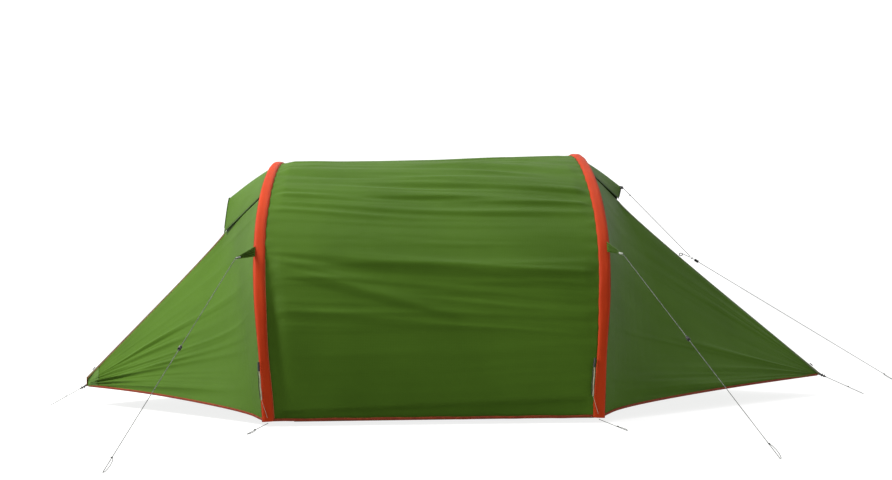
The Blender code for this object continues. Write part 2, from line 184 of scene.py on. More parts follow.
def math_node(tree, operation, factor=None, **sources):
    """A maths node with these links to its inputs, a to c, and a constant second input."""
    node = tree.nodes.new("ShaderNodeMath")
    node.operation = operation
    if factor is not None:
        node.inputs[1].default_value = factor
    for k, key in enumerate("abc"):
        if key in sources:
            tree.links.new(sources[key], node.inputs[k])
    return node.outputs[0]


def mottled_colour(tree, shader, dark, light, scale, detail=6.0):
    """Colour that wanders between two shades with a noise pattern."""
    noise = noise_node(tree, scale, detail)
    ramp = tree.nodes.new("ShaderNodeValToRGB")
    ramp.color_ramp.elements[0].position, ramp.color_ramp.elements[1].position = 0.35, 0.65
    ramp.color_ramp.elements[0].color = (*dark, 1)
    ramp.color_ramp.elements[1].color = (*light, 1)
    coordinates = tree.nodes.new("ShaderNodeTexCoord")
    tree.links.new(coordinates.outputs["Object"], noise.inputs["Vector"])
    tree.links.new(noise.outputs["Fac"], ramp.inputs["Fac"])
    tree.links.new(ramp.outputs["Color"], shader.inputs["Base Color"])
    return ramp, coordinates


def add_bump(tree, shader, height, strength, distance):
    bump = tree.nodes.new("ShaderNodeBump")
    set_inputs(bump, Strength=strength, Distance=distance)
    tree.links.new(height, bump.inputs["Height"])
    tree.links.new(bump.outputs["Normal"], shader.inputs["Normal"])


def roughness_from(tree, shader, value, low, high):
    spread = tree.nodes.new("ShaderNodeMapRange")
    set_inputs(spread, To_Min=low, To_Max=high)
    tree.links.new(value, spread.inputs["Value"])
    tree.links.new(spread.outputs["Result"], shader.inputs["Roughness"])


WAVE_PERIOD = 0.314  # metres between the bands of a wave texture of scale 1


def grid_height(tree, vector, pitch, thin):
    """A woven grid: raised threads every pitch metres both ways, from the cloth's own UV in metres."""
    waves = []
    for axis in ("X", "Y"):
        wave = tree.nodes.new("ShaderNodeTexWave")
        wave.wave_type, wave.bands_direction = "BANDS", axis
        set_inputs(wave, Scale=WAVE_PERIOD / pitch)
        tree.links.new(vector, wave.inputs["Vector"])
        waves.append(math_node(tree, "POWER", thin, a=wave.outputs["Fac"]))
    return math_node(tree, "MAXIMUM", a=waves[0], b=waves[1])


def nylon(name, dark, light, glow, roughness, ripstop=0.006, crumple=0.35):
    """Thin coated cloth: mottled dye, ripstop grid, fine crumple, and some light let through."""
    weave = 0.0012
    made, tree, shader = start_material(name, roughness[0])
    ramp, coordinates = mottled_colour(tree, shader, dark, light, 2.3)
    set_inputs(shader, Sheen_Weight=0.04, Sheen_Roughness=0.4, Specular_IOR_Level=0.04)
    uv = coordinates.outputs["UV"]
    big = grid_height(tree, uv, ripstop, 6.0)
    small = grid_height(tree, uv, weave, 1.0)
    stretch = tree.nodes.new("ShaderNodeMapping")
    set_inputs(stretch, Scale=(3.0, 14.0, 1.0))
    tree.links.new(uv, stretch.inputs["Vector"])
    folds = noise_node(tree, 1.6, 8.0)
    set_inputs(folds, Distortion=0.6)
    tree.links.new(stretch.outputs["Vector"], folds.inputs["Vector"])
    threads = math_node(tree, "MULTIPLY_ADD", 0.35, a=small, c=big)
    height = math_node(tree, "MULTIPLY_ADD", crumple * 12, a=folds.outputs["Fac"], c=threads)
    add_bump(tree, shader, height, 0.5, 0.0004)
    roughness_from(tree, shader, folds.outputs["Fac"], *roughness)
    if glow:
        through = tree.nodes.new("ShaderNodeBsdfTranslucent")
        tree.links.new(ramp.outputs["Color"], through.inputs["Color"])
        blend = tree.nodes.new("ShaderNodeMixShader")
        set_inputs(blend, Fac=glow)
        tree.links.new(shader.outputs[0], blend.inputs[1])
        tree.links.new(through.outputs[0], blend.inputs[2])
        tree.links.new(blend.outputs[0], tree.nodes["Material Output"].inputs["Surface"])
    return made


def woven(name, dark, light, pitch, roughness=0.8, strength=0.7):
    """Heavier woven goods: webbing, tape, mesh and braided cord."""
    made, tree, shader = start_material(name, roughness)
    set_inputs(shader, Specular_IOR_Level=0.12)
    _, coordinates = mottled_colour(tree, shader, dark, light, 60.0, 3.0)
    height = grid_height(tree, coordinates.outputs["Object"], pitch, 1.5)
    add_bump(tree, shader, height, strength, 0.0003)
    roughness_from(tree, shader, height, roughness, roughness - 0.15)
    return made


def moulded(name, dark, light, roughness, metallic=0.0):
    """Moulded or cast small parts, with a fine grain and slightly uneven gloss."""
    made, tree, shader = start_material(name, roughness, metallic)
    set_inputs(shader, Specular_IOR_Level=0.30)
    mottled_colour(tree, shader, dark, light, 90.0, 4.0)
    grain = noise_node(tree, 900.0)
    add_bump(tree, shader, grain.outputs["Fac"], 0.25, 0.0001)
    roughness_from(tree, shader, grain.outputs["Fac"], roughness - 0.08, roughness + 0.12)
    return made


MATERIALS = {
    "fly": nylon("fly", (0.047, 0.103, 0.0080), (0.058, 0.125, 0.0105), 0.30, (0.48, 0.62)),
    "sleeve": nylon(
        "sleeve", (0.285, 0.0225, 0.0038), (0.340, 0.030, 0.0050), 0.10, (0.5, 0.65), crumple=0.25
    ),
    "tape": woven("tape", (0.118, 0.0165, 0.0050), (0.160, 0.0240, 0.0070), 0.0016),
    "trim": woven("trim", (0.034, 0.0105, 0.0050), (0.050, 0.0150, 0.0070), 0.0016),
    "stitch": woven("stitch", (0.33, 0.075, 0.030), (0.42, 0.105, 0.045), 0.0008),
    "binding": woven("binding", (0.018, 0.040, 0.006), (0.028, 0.060, 0.009), 0.0016),
    "patch": woven("patch", (0.040, 0.085, 0.012), (0.052, 0.108, 0.016), 0.0016),
    # pale grey-green of the right ridge's strip and coil: painted highlight where the ridge's top faces
    # the light
    "flap_painted_highlight": woven("flap_painted_highlight", (0.085, 0.105, 0.055), (0.115, 0.140, 0.075), 0.0016),
    "coil": woven("coil", (0.125, 0.085, 0.030), (0.170, 0.115, 0.042), 0.0012),
    "mesh": woven("mesh", (0.010, 0.012, 0.010), (0.024, 0.026, 0.022), 0.0022, 0.9),
    "liner": nylon("liner", (0.30, 0.30, 0.25), (0.36, 0.36, 0.30), 0.30, (0.6, 0.75), 0.005),
    "floor_cloth": nylon(
        "floor_cloth", (0.030, 0.033, 0.034), (0.045, 0.048, 0.050), 0.0, (0.4, 0.5), 0.005
    ),
    "cord": woven("cord", (0.050, 0.055, 0.052), (0.115, 0.120, 0.112), 0.0011, 0.6),
    "webbing": woven("webbing", (0.22, 0.20, 0.15), (0.30, 0.28, 0.21), 0.0015),
    "black": moulded("black_plastic", (0.012, 0.012, 0.012), (0.022, 0.022, 0.022), 0.42),
    "zip_metal": moulded("zip_metal", (0.18, 0.18, 0.17), (0.26, 0.26, 0.25), 0.38, 0.8),
    "beam": moulded("beam", (0.60, 0.64, 0.66), (0.68, 0.71, 0.73), 0.35),
    "reflective": woven("reflective", (0.33, 0.34, 0.33), (0.45, 0.46, 0.45), 0.0010, 0.35),
}


# ---- mesh helpers -------------------------------------------------------------------------------
def add_object(name, data, material, body=None):
    made = bpy.data.objects.new(name, data)
    bpy.context.scene.collection.objects.link(made)
    data.materials.append(MATERIALS[material])
    if body:
        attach(made, body)
    return made


def recolour(node, material):
    """A CAD object stays as it is, with a better material."""
    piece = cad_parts[node]
    piece.data.materials.clear()
    piece.data.materials.append(MATERIALS[material])


def run_along(path):
    """Distance along a path at each of its points."""
    return np.concatenate([[0], np.cumsum(np.linalg.norm(np.diff(path, axis=0), axis=1))])


def path_length(path):
    return float(np.linalg.norm(np.diff(path, axis=0), axis=1).sum())


def normals_of(points):
    across = np.gradient(points, axis=1)
    down = np.gradient(points, axis=0)
    found = np.cross(across, down)
    return found / np.maximum(np.linalg.norm(found, axis=2, keepdims=True), 1e-9)


def cell_corners(grid):
    return [grid[:-1, :-1], grid[:-1, 1:], grid[1:, 1:], grid[1:, :-1]]


def grid_mesh(name, points, uv_size, closed=False):
    """A smooth mesh through a grid of points, with a UV in metres.

    closed joins the last column to the first.
    """
    rows, columns = points.shape[:2]
    index = np.arange(rows * columns).reshape(rows, columns)
    if closed:
        index = np.hstack([index, index[:, :1]])
    faces = np.stack(cell_corners(index), axis=-1).reshape(-1, 4)
    mesh = bpy.data.meshes.new(name)
    mesh.from_pydata(points.reshape(-1, 3).tolist(), [], faces.tolist())
    places = mesh.uv_layers.new(name="cloth").data
    u, v = np.meshgrid(np.linspace(0, uv_size[0], index.shape[1]), np.linspace(0, uv_size[1], rows))
    grid = np.stack([u, v], axis=-1)
    corners = np.stack(cell_corners(grid), axis=2).reshape(-1, 2)
    places.foreach_set("uv", corners.astype(np.float32).ravel())
    mesh.shade_smooth()
    return mesh


def thicken(piece, thickness=CLOTH_THICK):
    solid = piece.modifiers.new("thickness", "SOLIDIFY")
    solid.thickness, solid.offset = thickness, 0
    return piece


def cloth(
    name, points, material, body, replaces=(), thickness=CLOTH_THICK, flat=None
):
    """A piece of cloth through a grid of points, with its UV in metres at the size it was cut to."""
    width = float(np.linalg.norm(np.diff(points, axis=1), axis=2).sum(axis=1).max())
    length = float(np.linalg.norm(np.diff(points, axis=0), axis=2).sum(axis=0).max())
    width, length = flat or (width, length)
    made = add_object(name, grid_mesh(name, points, (width, length)), material, body)
    thicken(made, thickness)
    if replaces:
        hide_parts(*replaces)
    return made


def noise_rows(u, v, seed, octaves=5, base=(2.0, 9.0)):
    """Smooth noise from a sum of slanted sine waves, the same on each run."""
    rng = np.random.default_rng(seed)
    total = np.zeros_like(u)
    for k in range(octaves * 5):
        grow = 1.7 ** (k // 5)
        fu, fv = rng.normal(0, base[0] * grow), rng.uniform(0.6, 1.6) * base[1] * grow
        total += np.sin(2 * pi * (fu * u + fv * v) + rng.uniform(0, 2 * pi)) / grow
    return total / 5


def bell(x, centre, width):
    return np.exp(-(((x - centre) / width) ** 2))


def arch_curve(side, count, aside=0.0, low=None, high=None, lift=0.0):
    """Evenly spaced points of an arch, from a height on its front leg to another one.

    Without low it starts at the front foot, and without high it runs over the top to the rear foot
    (to the same height as low).
    """
    samples, fine_samples = 1601, 1200
    low = side["hem"] if low is None else low
    angles = np.linspace(0, pi, samples)
    c, s = np.cos(angles), np.maximum(np.sin(angles), 0)
    y = -(side["half"] + lift) * np.sign(c) * np.abs(c) ** (2 / ARCH_POWER)
    z = (side["height"] + lift) * s ** (2 / ARCH_POWER)
    share = np.minimum(z / side["height"], 1)
    lean = side["sign"] * (side["lean"] * share + side["bow"] * np.sin(pi * share**1.5))
    points = np.stack([side["arch_x"] + lean + aside, y, z], axis=1)
    front = angles < pi / 2
    start = np.interp(low, z[front], np.arange(front.sum()))
    last = samples - 1 - start
    if high is not None:
        last = np.interp(high, z[front], np.arange(front.sum()))
    fine = np.linspace(start, last, fine_samples)
    dense = np.stack([np.interp(fine, np.arange(samples), points[:, k]) for k in range(3)], axis=1)
    run = run_along(dense)
    shares = np.linspace(0, run[-1], count)
    return np.stack([np.interp(shares, run, dense[:, k]) for k in range(3)], axis=1)


def path_frames(points):
    """Side (near +X) and up at each point of a path."""
    ahead = np.gradient(points, axis=0)
    ahead /= np.linalg.norm(ahead, axis=1, keepdims=True)
    guide = np.where(np.abs(ahead[:, :1]) < 0.9, np.array([[1.0, 0, 0]]), np.array([[0, 1.0, 0]]))
    side = guide - ahead * (guide * ahead).sum(axis=1, keepdims=True)
    side /= np.linalg.norm(side, axis=1, keepdims=True)
    return side, np.cross(side, ahead)


def ribbon(name, path, outline, material, body):
    """A solid strip or tube of this outline, a list of (side, up) offsets, along a path."""
    girth = 0.02  # of the UV only
    side, up = path_frames(path)
    outline = np.array(outline)
    rings = path[:, None] + side[:, None] * outline[None, :, :1] + up[:, None] * outline[None, :, 1:]
    mesh = grid_mesh(name, rings, (girth, path_length(path)), closed=True)
    made = add_object(name, mesh, material, body)
    return cap_ends(made, len(path), len(outline))


def cap_ends(piece, rings, count):
    """Closes a tube of this many rings with a face at each end."""
    work = bmesh.new()
    work.from_mesh(piece.data)
    work.verts.ensure_lookup_table()
    work.faces.new([work.verts[k] for k in reversed(range(count))])
    work.faces.new([work.verts[(rings - 1) * count + k] for k in range(count)])
    bmesh.ops.recalc_face_normals(work, faces=work.faces)
    work.to_mesh(piece.data)
    work.free()
    piece.data.set_sharp_from_angle(angle=0.9)
    return piece


def round_outline(radius, count=10):
    angles = [2 * pi * k / count for k in range(count)]
    return [(radius * cos(a), radius * sin(a)) for a in angles]


def flat_outline(wide, high, crown=0.25):
    """A strip's section with softened corners."""
    w, h = wide / 2, high / 2
    e = min(w, h) * crown * 2
    return [
        (-w + e, -h), (w - e, -h), (w, -h + e), (w, h - e),
        (w - e, h), (-w + e, h), (-w, h - e), (-w, -h + e),
    ]


def flip_y(points, rear):
    return points * np.array([1, -1 if rear else 1, 1])


def stitches(name, path, body):
    """A row of thread dashes along a path."""
    pitch, long, radius = 0.0055, 0.0034, 0.00035
    run = run_along(path)
    starts = np.arange(0, run[-1] - long, pitch)
    verts, faces = [], []
    for start in starts:
        ends = [np.array([np.interp(start + d, run, path[:, k]) for k in range(3)]) for d in (0, long)]
        ahead = (ends[1] - ends[0]) / long
        side = np.cross(ahead, [0.3, 0.5, 0.8])
        side /= np.linalg.norm(side)
        up = np.cross(side, ahead)
        base = len(verts)
        for end in ends:
            verts += [end + radius * (side * a + up * b) for a, b in ((1, 0), (0, 1), (-1, 0), (0, -1))]
        faces += [(base + k, base + (k + 1) % 4, base + 4 + (k + 1) % 4, base + 4 + k) for k in range(4)]
        faces += [(base + 3, base + 2, base + 1, base), (base + 4, base + 5, base + 6, base + 7)]
    mesh = bpy.data.meshes.new(name)
    mesh.from_pydata([tuple(v) for v in verts], [], faces)
    return add_object(name, mesh, "stitch", body)


# ---- the tunnel ---------------------------------------------------------------------------------
def make_tunnel():
    across, around = 200, 560
    ends = [arch_curve(s, around, -s["sign"] * FLY_INSET, lift=FLY_LIFT) for s in SIDES]
    share = np.linspace(0, 1, across)[None, :, None]
    points = ends[0][:, None] * (1 - share) + ends[1][:, None] * share
    u, v = np.meshgrid(np.linspace(0, 1, across), np.linspace(0, 1, around))
    points = points + normals_of(points) * tunnel_relief(u, v, points)[..., None]
    width, length = float(np.linalg.norm(points[0, -1] - points[0, 0])), path_length(points[:, 0])
    mesh = grid_mesh("fly_tunnel", points, (width, length))
    made = thicken(add_object("fly_tunnel", mesh, "fly", "tent"))
    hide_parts("fly_roof", "fly_front_wall", "fly_rear_wall")


def crease_ridge(across, blur):
    """A ridge over across = 0, wider by blur on the upper side and sharper on the lower one."""
    return np.exp(-np.where(across > 0, across / blur, across) ** 2)


def creases(u, z, count, seed, z_range, slope, size):
    """Long narrow creases across the tunnel, each at its own height and slope."""
    rng = np.random.default_rng(seed)
    total = np.zeros_like(u)
    for _ in range(count):
        middle, long = rng.uniform(0.05, 0.95), rng.uniform(0.12, 0.42)
        height, tilt = rng.uniform(*z_range), rng.normal(*slope)
        wide, tall = rng.uniform(0.005, 0.013), rng.uniform(0.4, 1.0) * size
        line = height + tilt * (u - middle) + 0.006 * np.sin(7 * u + 10 * height)
        total += tall * crease_ridge((z - line) / wide, 1.8) * bell(u, middle, long)
    return total


def smooth_step(x):
    x = np.clip(x, 0, 1)
    return x * x * (3 - 2 * x)


def fold(z, line, rise, fade):
    """A tuck: the cloth steps out over this rise below the line, and falls back slowly above it."""
    return smooth_step((z - line + rise) / rise) * np.exp(-np.maximum(z - line, 0) / fade)


# single soft folds: height at the left arch, slope, middle, half length, how far out, half width
TUNNEL_FOLDS = [
    (0.612, -0.360, 0.28, 0.22, 0.0085, 0.016), (0.590, -0.330, 0.20, 0.18, 0.0055, 0.013),
    (0.635, -0.300, 0.12, 0.16, 0.0060, 0.013), (0.560, -0.260, 0.45, 0.14, 0.0050, 0.012),
    (0.575, -0.020, 0.80, 0.24, 0.0065, 0.016), (0.535, -0.010, 0.72, 0.20, 0.0045, 0.014),
    (0.505, -0.020, 0.55, 0.20, 0.0030, 0.012),
]
# bands of small creases: count, seed, heights, slope (mean, spread), how far out
TUNNEL_CREASES = [
    (130, 3, (0.79, 1.05), (-0.070, 0.022), 0.0038), (16, 8, (0.66, 0.79), (-0.060, 0.020), 0.0014),
    (60, 4, (0.34, 0.60), (-0.090, 0.04), 0.0021), (30, 6, (0.08, 0.30), (0.030, 0.03), 0.0010),
]


def tunnel_relief(u, v, points):
    """How far the cloth stands out: sag between the arches, the tucks between the guy points, wrinkles."""
    z = points[..., 2]
    near_arch = np.minimum(u, 1 - u)
    free = smooth_step(near_arch / 0.05)
    relief = -0.006 * np.sin(pi * u)
    # the main tuck, from one guy point to the other
    main = 0.659 - 0.142 * u + 0.044 * u * u
    rise = 0.014 + 0.034 * np.sin(pi * u)
    relief += 0.019 * fold(z, main, rise, 0.13) * np.sin(pi * u) ** 0.6 * np.clip(1.10 - 0.35 * u, 0, 1)
    for height, tilt, middle, long, tall, wide in TUNNEL_FOLDS:
        ridge = crease_ridge((z - height - tilt * u) / wide, 2.2)
        relief += tall * ridge * bell(u, middle, long) * free
    rear_share = np.where(v < 0.5, 1.0, 0.85)
    for band in TUNNEL_CREASES:
        relief += rear_share * free * creases(u, z, *band)
    # over the roof the creases are placed by y, because z hardly changes there
    roof_half, elsewhere = 0.45, 9.0
    over = np.where(np.abs(points[..., 1]) < roof_half, points[..., 1], elsewhere)
    relief += free * creases(u, over, 70, 5, (-0.46, 0.46), (0.0, 0.03), 0.0032)
    hem_line = 0.052 + 0.040 * u
    relief -= 0.018 * fold(-z, -hem_line, 0.009, 0.035) * free
    # a groove beside the left sleeve, below the guy point
    width = SIDES[1]["arch_x"] - SIDES[0]["arch_x"]
    relief -= 0.015 * bell(u * width, 0.024, 0.034) * np.clip((0.70 - z) / 0.30, 0, 1)
    puckers = np.sin(2 * pi * v * 52 + 2.0 * np.sin(9 * v))
    return relief + 0.0014 * puckers * np.exp(-near_arch / 0.035)


# ---- the porches --------------------------------------------------------------------------------
def hinge_ends(side):
    foot = np.array([side["arch_x"], -side["half"], side["hem"] + 0.006])
    tip = np.array([side["sign"] * TIP_X, 0, side["tip_z"][0]])
    x, z = side["ridge_top"]
    return foot + (tip - foot) * DOOR_FRACTION, np.array([x, -0.003, z])


def porch_points(side, rear):
    """The porch's cloth on one side of the ridge.

    Rows climb from the hem to the ridge, and columns run from the arch to the tip.
    """
    up, out = 230, 200
    arch = arch_curve(side, up, side["sign"] * FLY_INSET, side["hem"] + 0.004, side["vent_z"])
    low, high = hinge_ends(side)
    rise = np.linspace(0, 1, up)[:, None]
    middle = low + (high - low) * rise
    tip_low, tip_high = (np.array([side["sign"] * TIP_X, -0.003, z]) for z in side["tip_z"])
    tip = tip_low + (tip_high - tip_low) * rise
    belly = np.array([side["sign"] * 0.5, -0.7, 0.5]) * 0.012
    middle = middle + belly * np.sin(pi * rise)
    first = np.linalg.norm(middle - arch, axis=1, keepdims=True)
    second = np.linalg.norm(tip - middle, axis=1, keepdims=True)
    knee = (first / (first + second)).mean()

    def polyline(t):
        t = np.clip(t, 0, 1)[..., None]
        near, far = np.clip(t / knee, 0, 1), np.clip((t - knee) / (1 - knee), 0, 1)
        legs = arch[:, None] + (middle - arch)[:, None] * near
        return legs + (tip - middle)[:, None] * far

    t = np.linspace(0, 1, out)[None, :].repeat(up, axis=0)
    spread = 0.13 * (1 - rise**6) * np.minimum(1, np.minimum(t, 1 - t) / 0.13)
    points = sum(polyline(t + spread * k) for k in np.linspace(-1, 1, 9)) / 9
    relief = porch_relief(side, rear, t, rise.repeat(out, axis=1))
    outward = normals_of(points)
    if outward[..., 1].mean() > 0:
        outward = -outward
    points = points + outward * relief[..., None]
    points[..., 2] -= ridge_sag(side, (t - knee) / (1 - knee)) * rise**8
    peak = 1.3 if side["sign"] < 0 else 0.85
    points[..., 2] += 0.018 * np.sin(pi * t**peak) * (1 - rise) ** 3
    points[..., 1] = np.minimum(points[..., 1], -0.0015)
    return flip_y(points, rear)


def ridge_sag(side, t):
    """How far the ridge hangs below a straight line, t from its top to the tip; deepest near the top."""
    depth = 0.010 if side["sign"] < 0 else 0.016
    return depth * np.sin(pi * np.clip(t, 0, 1) ** 0.55)


def porch_creases(s, t, count, seed, rows, columns, tall):
    """Creases that run out from the tip: s runs from hem to ridge, t from arch to tip."""
    rng = np.random.default_rng(seed)
    total = np.zeros_like(s)
    for _ in range(count):
        line, middle = rng.uniform(*rows), rng.uniform(*columns)
        long, wide = rng.uniform(0.10, 0.30), rng.uniform(0.008, 0.020)
        across = (s - line - 0.02 * np.sin(4 * t + 20 * line)) / wide
        total += rng.uniform(0.4, 1.0) * tall * crease_ridge(across, 1.9) * bell(t, middle, long)
    return total


def porch_relief(side, rear, t, s):
    """How far the porch's cloth stands out, t from arch to tip and s from hem to ridge."""
    seed = 11 + side["sign"] + (5 if rear else 0)
    inside = np.clip(np.minimum(s, 1 - s) / 0.03, 0, 1) * np.clip(np.minimum(t, 1 - t) / 0.05, 0, 1)
    relief = -0.010 * np.sin(pi * s) * np.sin(pi * t) ** 0.8
    if side["sign"] < 0:
        bands = [(48, (0.03, 0.62), (0.50, 0.95), 0.0046), (8, (0.40, 0.60), (0.30, 0.55), 0.0025)]
    else:
        bands = [(26, (0.02, 0.40), (0.45, 0.95), 0.0032), (12, (0.02, 0.16), (0.10, 0.60), 0.0040)]
    for k, (count, *band) in enumerate(bands):
        relief += inside * porch_creases(s, t, count, seed + k, *band)
    if side["sign"] > 0:
        pull = bell(s, 0.60, 0.05) * np.exp(-t / 0.30)
        relief += 0.007 * pull * inside
    top = porch_creases(s, t, 10, seed + 2, (0.70, 0.97), (0.20, 0.80), 0.0022)
    puckers = np.sin(2 * pi * s * 34) * np.exp(-t / 0.02) * 0.0014
    return relief + inside * (top + 0.0008 * noise_rows(t, s, seed, 3, (1.2, 3.0))) + puckers


def make_porch(side):
    """Both halves of a porch; the front one takes the place of the gusset and the door."""
    name = side["name"]
    for rear in (False, True):
        points, label = porch_points(side, rear), "rear" if rear else "front"
        width, length = float(np.linalg.norm(points[0, -1] - points[0, 0])), path_length(points[:, 0])
        mesh = grid_mesh(f"porch_cloth_{label}_{name}", points, (width, length))
        made = add_object(f"porch_cloth_{label}_{name}", mesh, "fly", None)
        if rear:
            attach(made, "tent")
            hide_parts(f"porch_rear_{name}")
        else:
            bend_at_door(made)
            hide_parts(f"porch_gusset_{name}", f"porch_door_{name}")
        thicken(made)
        make_porch_hem(side, points, rear)
        if side["sign"] < 0:
            make_tip_patch(name, label, points)
    make_ridge(side)


def make_tip_patch(name, label, points):
    """A darker patch that strengthens the porch's tip, laid on its outside."""
    out, body = (0.0024, "tent") if label == "rear" else (-0.0024, f"porch_door_{name}")
    rows = points[2:-8:4, -12:-1] + [0, out, 0.0006]
    cloth(f"tip_patch_{label}_{name}", rows, "patch", body)


def bend_at_door(piece):
    """Bakes the piece's placement into its mesh; the piece hangs on no body."""
    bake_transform(piece)


def make_porch_hem(side, points, rear):
    """Red tape folded over the porch's lower edge."""
    name, label = side["name"], "rear" if rear else "front"
    edge = points[0].copy()
    edge[:, 2] += 0.002
    section = flat_outline(0.0026, 0.0090)
    made = ribbon(f"porch_hem_{label}_{name}", edge[2:-1], section, "tape", None)
    if rear:
        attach(made, "tent")
    else:
        bend_at_door(made)


def make_ridge(side):
    """The strip over the zip down the ridge, the zip's coil beside it, and the tape at the tip."""
    name, sign = side["name"], side["sign"]
    x, z = side["ridge_top"]
    t = np.linspace(0, 1, 60)
    top = np.array([x, 0, z])
    line = top + (np.array([sign * TIP_X, 0, side["tip_z"][1]]) - top) * t[:, None]
    line[:, 2] -= ridge_sag(side, t)
    line[:, 2] += 0.0025
    half, drop = 0.011, 0.011
    inner = (half * 0.5, -drop * 0.42)
    section = [(-half, -drop), (-inner[0], inner[1]), (0, 0.0012), inner, (half, -drop)]
    rows = np.array([[p + np.array([0, a, b]) for a, b in section] for p in line])
    # on the right, the strip and coil take the pale grey-green: painted highlight along the ridge
    strip_material, coil_material = ("trim", "coil") if sign < 0 else ("flap_painted_highlight", "flap_painted_highlight")
    strip = cloth(f"ridge_strip_{name}", rows, strip_material, "tent", thickness=0.0010)
    rounded = strip.modifiers.new("round", "SUBSURF")
    rounded.levels = rounded.render_levels = 1
    coil = line + np.array([0, -0.0125, -0.0105])
    ribbon(f"zip_coil_{name}", coil, flat_outline(0.0046, 0.0030), coil_material, "tent")
    low, high = side["tip_z"]
    edge = np.array([[sign * (TIP_X + 0.0015), 0, low + (high - low) * k / 8] for k in range(9)])
    ribbon(f"tip_edge_{name}", edge, flat_outline(0.003, 0.014), "tape", "tent")


# ---- the vent hoods -----------------------------------------------------------------------------
def rim_points(side, count):
    """The hood's mouth, from its front foot over the top to its rear foot."""
    x, foot_x, foot, top, half = side["rim"]
    angle = np.linspace(0, pi, count)
    rise = np.sin(angle) ** 0.8
    foot = foot - 0.014
    across, z = foot_x + (x - foot_x) * rise, foot + (top - foot) * rise
    return np.stack([across, -half * np.cos(angle), z], axis=1)


def make_vent(side):
    """The hood from the arch to its mouth, its edges, the mesh under it and the strut that holds it."""
    name, sign = side["name"], side["sign"]
    over, out = 90, 36
    arch = arch_curve(side, over, sign * SLEEVE_R * 0.7, side["hood_z"])
    rim = rim_points(side, over)
    share = np.linspace(0, 1, out)[None, :, None]
    points = arch[:, None] * (1 - share) + rim[:, None] * share
    u, v = np.meshgrid(np.linspace(0, 1, out), np.linspace(0, 1, over))
    wrinkles = 0.0013 * noise_rows(u * 0.3, v, 21 + sign, 3, (0.5, 4.0)) * np.sin(pi * u)
    relief = 0.006 * np.sin(pi * u) * np.sin(pi * v) + wrinkles
    normal = normals_of(points)
    if normal[over // 2, out // 2, 2] < 0:
        normal = -normal
    points = points + normal * relief[..., None]
    cloth(f"vent_hood_cloth_{name}", points, "fly", "tent", [f"vent_hood_{name}"])
    rim_material = "binding" if sign < 0 else "black"
    ribbon(f"vent_rim_{name}", points[2:-2, -1], flat_outline(0.0035, 0.009), rim_material, "tent")
    for label, row in (("front", points[0]), ("rear", points[-1])):
        edge = flat_outline(0.0025, 0.006)
        ribbon(f"vent_edge_{label}_{name}", row[3:], edge, "binding", "tent")
    make_vent_mesh(side)
    node = f"vent_strut_{name}"
    low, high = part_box(node)
    strut = np.array([[(low[0] + high[0]) / 2, 0, z] for z in np.linspace(low[2], high[2], 12)])
    section = flat_outline(0.0028, 0.0115, 0.4)
    made = ribbon(f"vent_prop_{name}", strut, section, "black", node)
    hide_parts(node)


def make_vent_mesh(side):
    """A triangle of mesh from the arch, both sides, to a point over the ridge's top."""
    name, sign = side["name"], side["sign"]
    long, wide = 40, 16
    arch_top = arch_curve(side, 2, sign * (SLEEVE_R + 0.004), side["hem"], side["vent_z"])[-1]
    corner = arch_top + [0, 0.030, 0.002]
    x, z = side["ridge_top"]
    point = np.array([x - sign * 0.035, -0.010, z + 0.012])
    rows = []
    for k in np.linspace(0, 1, long):
        a = corner + (corner * [1, -1, 1] - corner) * k
        b = point + (point * [1, -1, 1] - point) * k
        rows.append([a + (b - a) * c for c in np.linspace(0, 1, wide)])
    rows = np.array(rows)
    sag = np.sin(pi * np.linspace(0, 1, long))[:, None] * np.sin(pi * np.linspace(0, 1, wide))[None]
    rows[..., 2] -= 0.004 * sag
    depth = float(np.linalg.norm((corner - point)[[0, 2]]))
    flat = (depth, float(2 * abs(corner[1])))
    cloth(f"vent_mesh_cloth_{name}", rows, "mesh", "tent", [f"vent_mesh_{name}"], flat=flat)


# ---- the arches ---------------------------------------------------------------------------------
def make_sleeve(side):
    """The wide sleeve: a soft tube with gathered wrinkles, and sewn flanges with their stitching."""
    name = side["name"]
    along, around = 420, 48
    path = arch_curve(side, along)
    across, up = path_frames(path)
    angle = np.linspace(0, 2 * pi, around, endpoint=False)
    u, v = np.meshgrid(angle, np.linspace(0, 1, along))
    gather = 0.0007 * noise_rows(u / (2 * pi) * 2.0, v, 31 + side["sign"], 4, (1.0, 14.0))
    # narrower near z 0.27 and at the crown, as the photo's sleeve is
    slim = (1 - 0.20 * bell(path[:, 2], 0.27, 0.13) - 0.14 * bell(path[:, 2], 1.06, 0.12))[:, None]
    wide, thick = (SLEEVE_R - 0.0008) * slim + gather, SLEEVE_R * 0.78 + gather
    wide = np.sign(np.cos(u)) * np.abs(np.cos(u)) ** 0.62 * wide
    thick = np.sign(np.sin(u)) * np.abs(np.sin(u)) ** 0.62 * thick
    rings = path[:, None] + across[:, None] * wide[..., None] + up[:, None] * thick[..., None]
    girth, length = 2 * pi * SLEEVE_R, path_length(path)
    mesh = grid_mesh(f"sleeve_cloth_{name}", rings, (girth, length), closed=True)
    made = thicken(add_object(f"sleeve_cloth_{name}", mesh, "sleeve", "tent"), 0.0008)
    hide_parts(f"arch_sleeve_{name}")
    section = flat_outline(0.0016, 0.0055)
    for label, way, material in (("inner", -side["sign"], "stitch"), ("outer", side["sign"], "tape")):
        seam = path + across * way * (SLEEVE_R - 0.0005) * slim + up * 0.006
        ribbon(f"sleeve_seam_{label}_{name}", seam, section, material, "tent")
    thread = path + across * side["sign"] * -0.0190 * slim + up * (SLEEVE_R * 0.62)
    stitches(f"sleeve_stitches_{name}", thread, "tent")
    recolour(f"air_beam_{name}", "beam")
    recolour(f"valve_{name}", "black")
    recolour(f"valve_cap_{name}", "black")


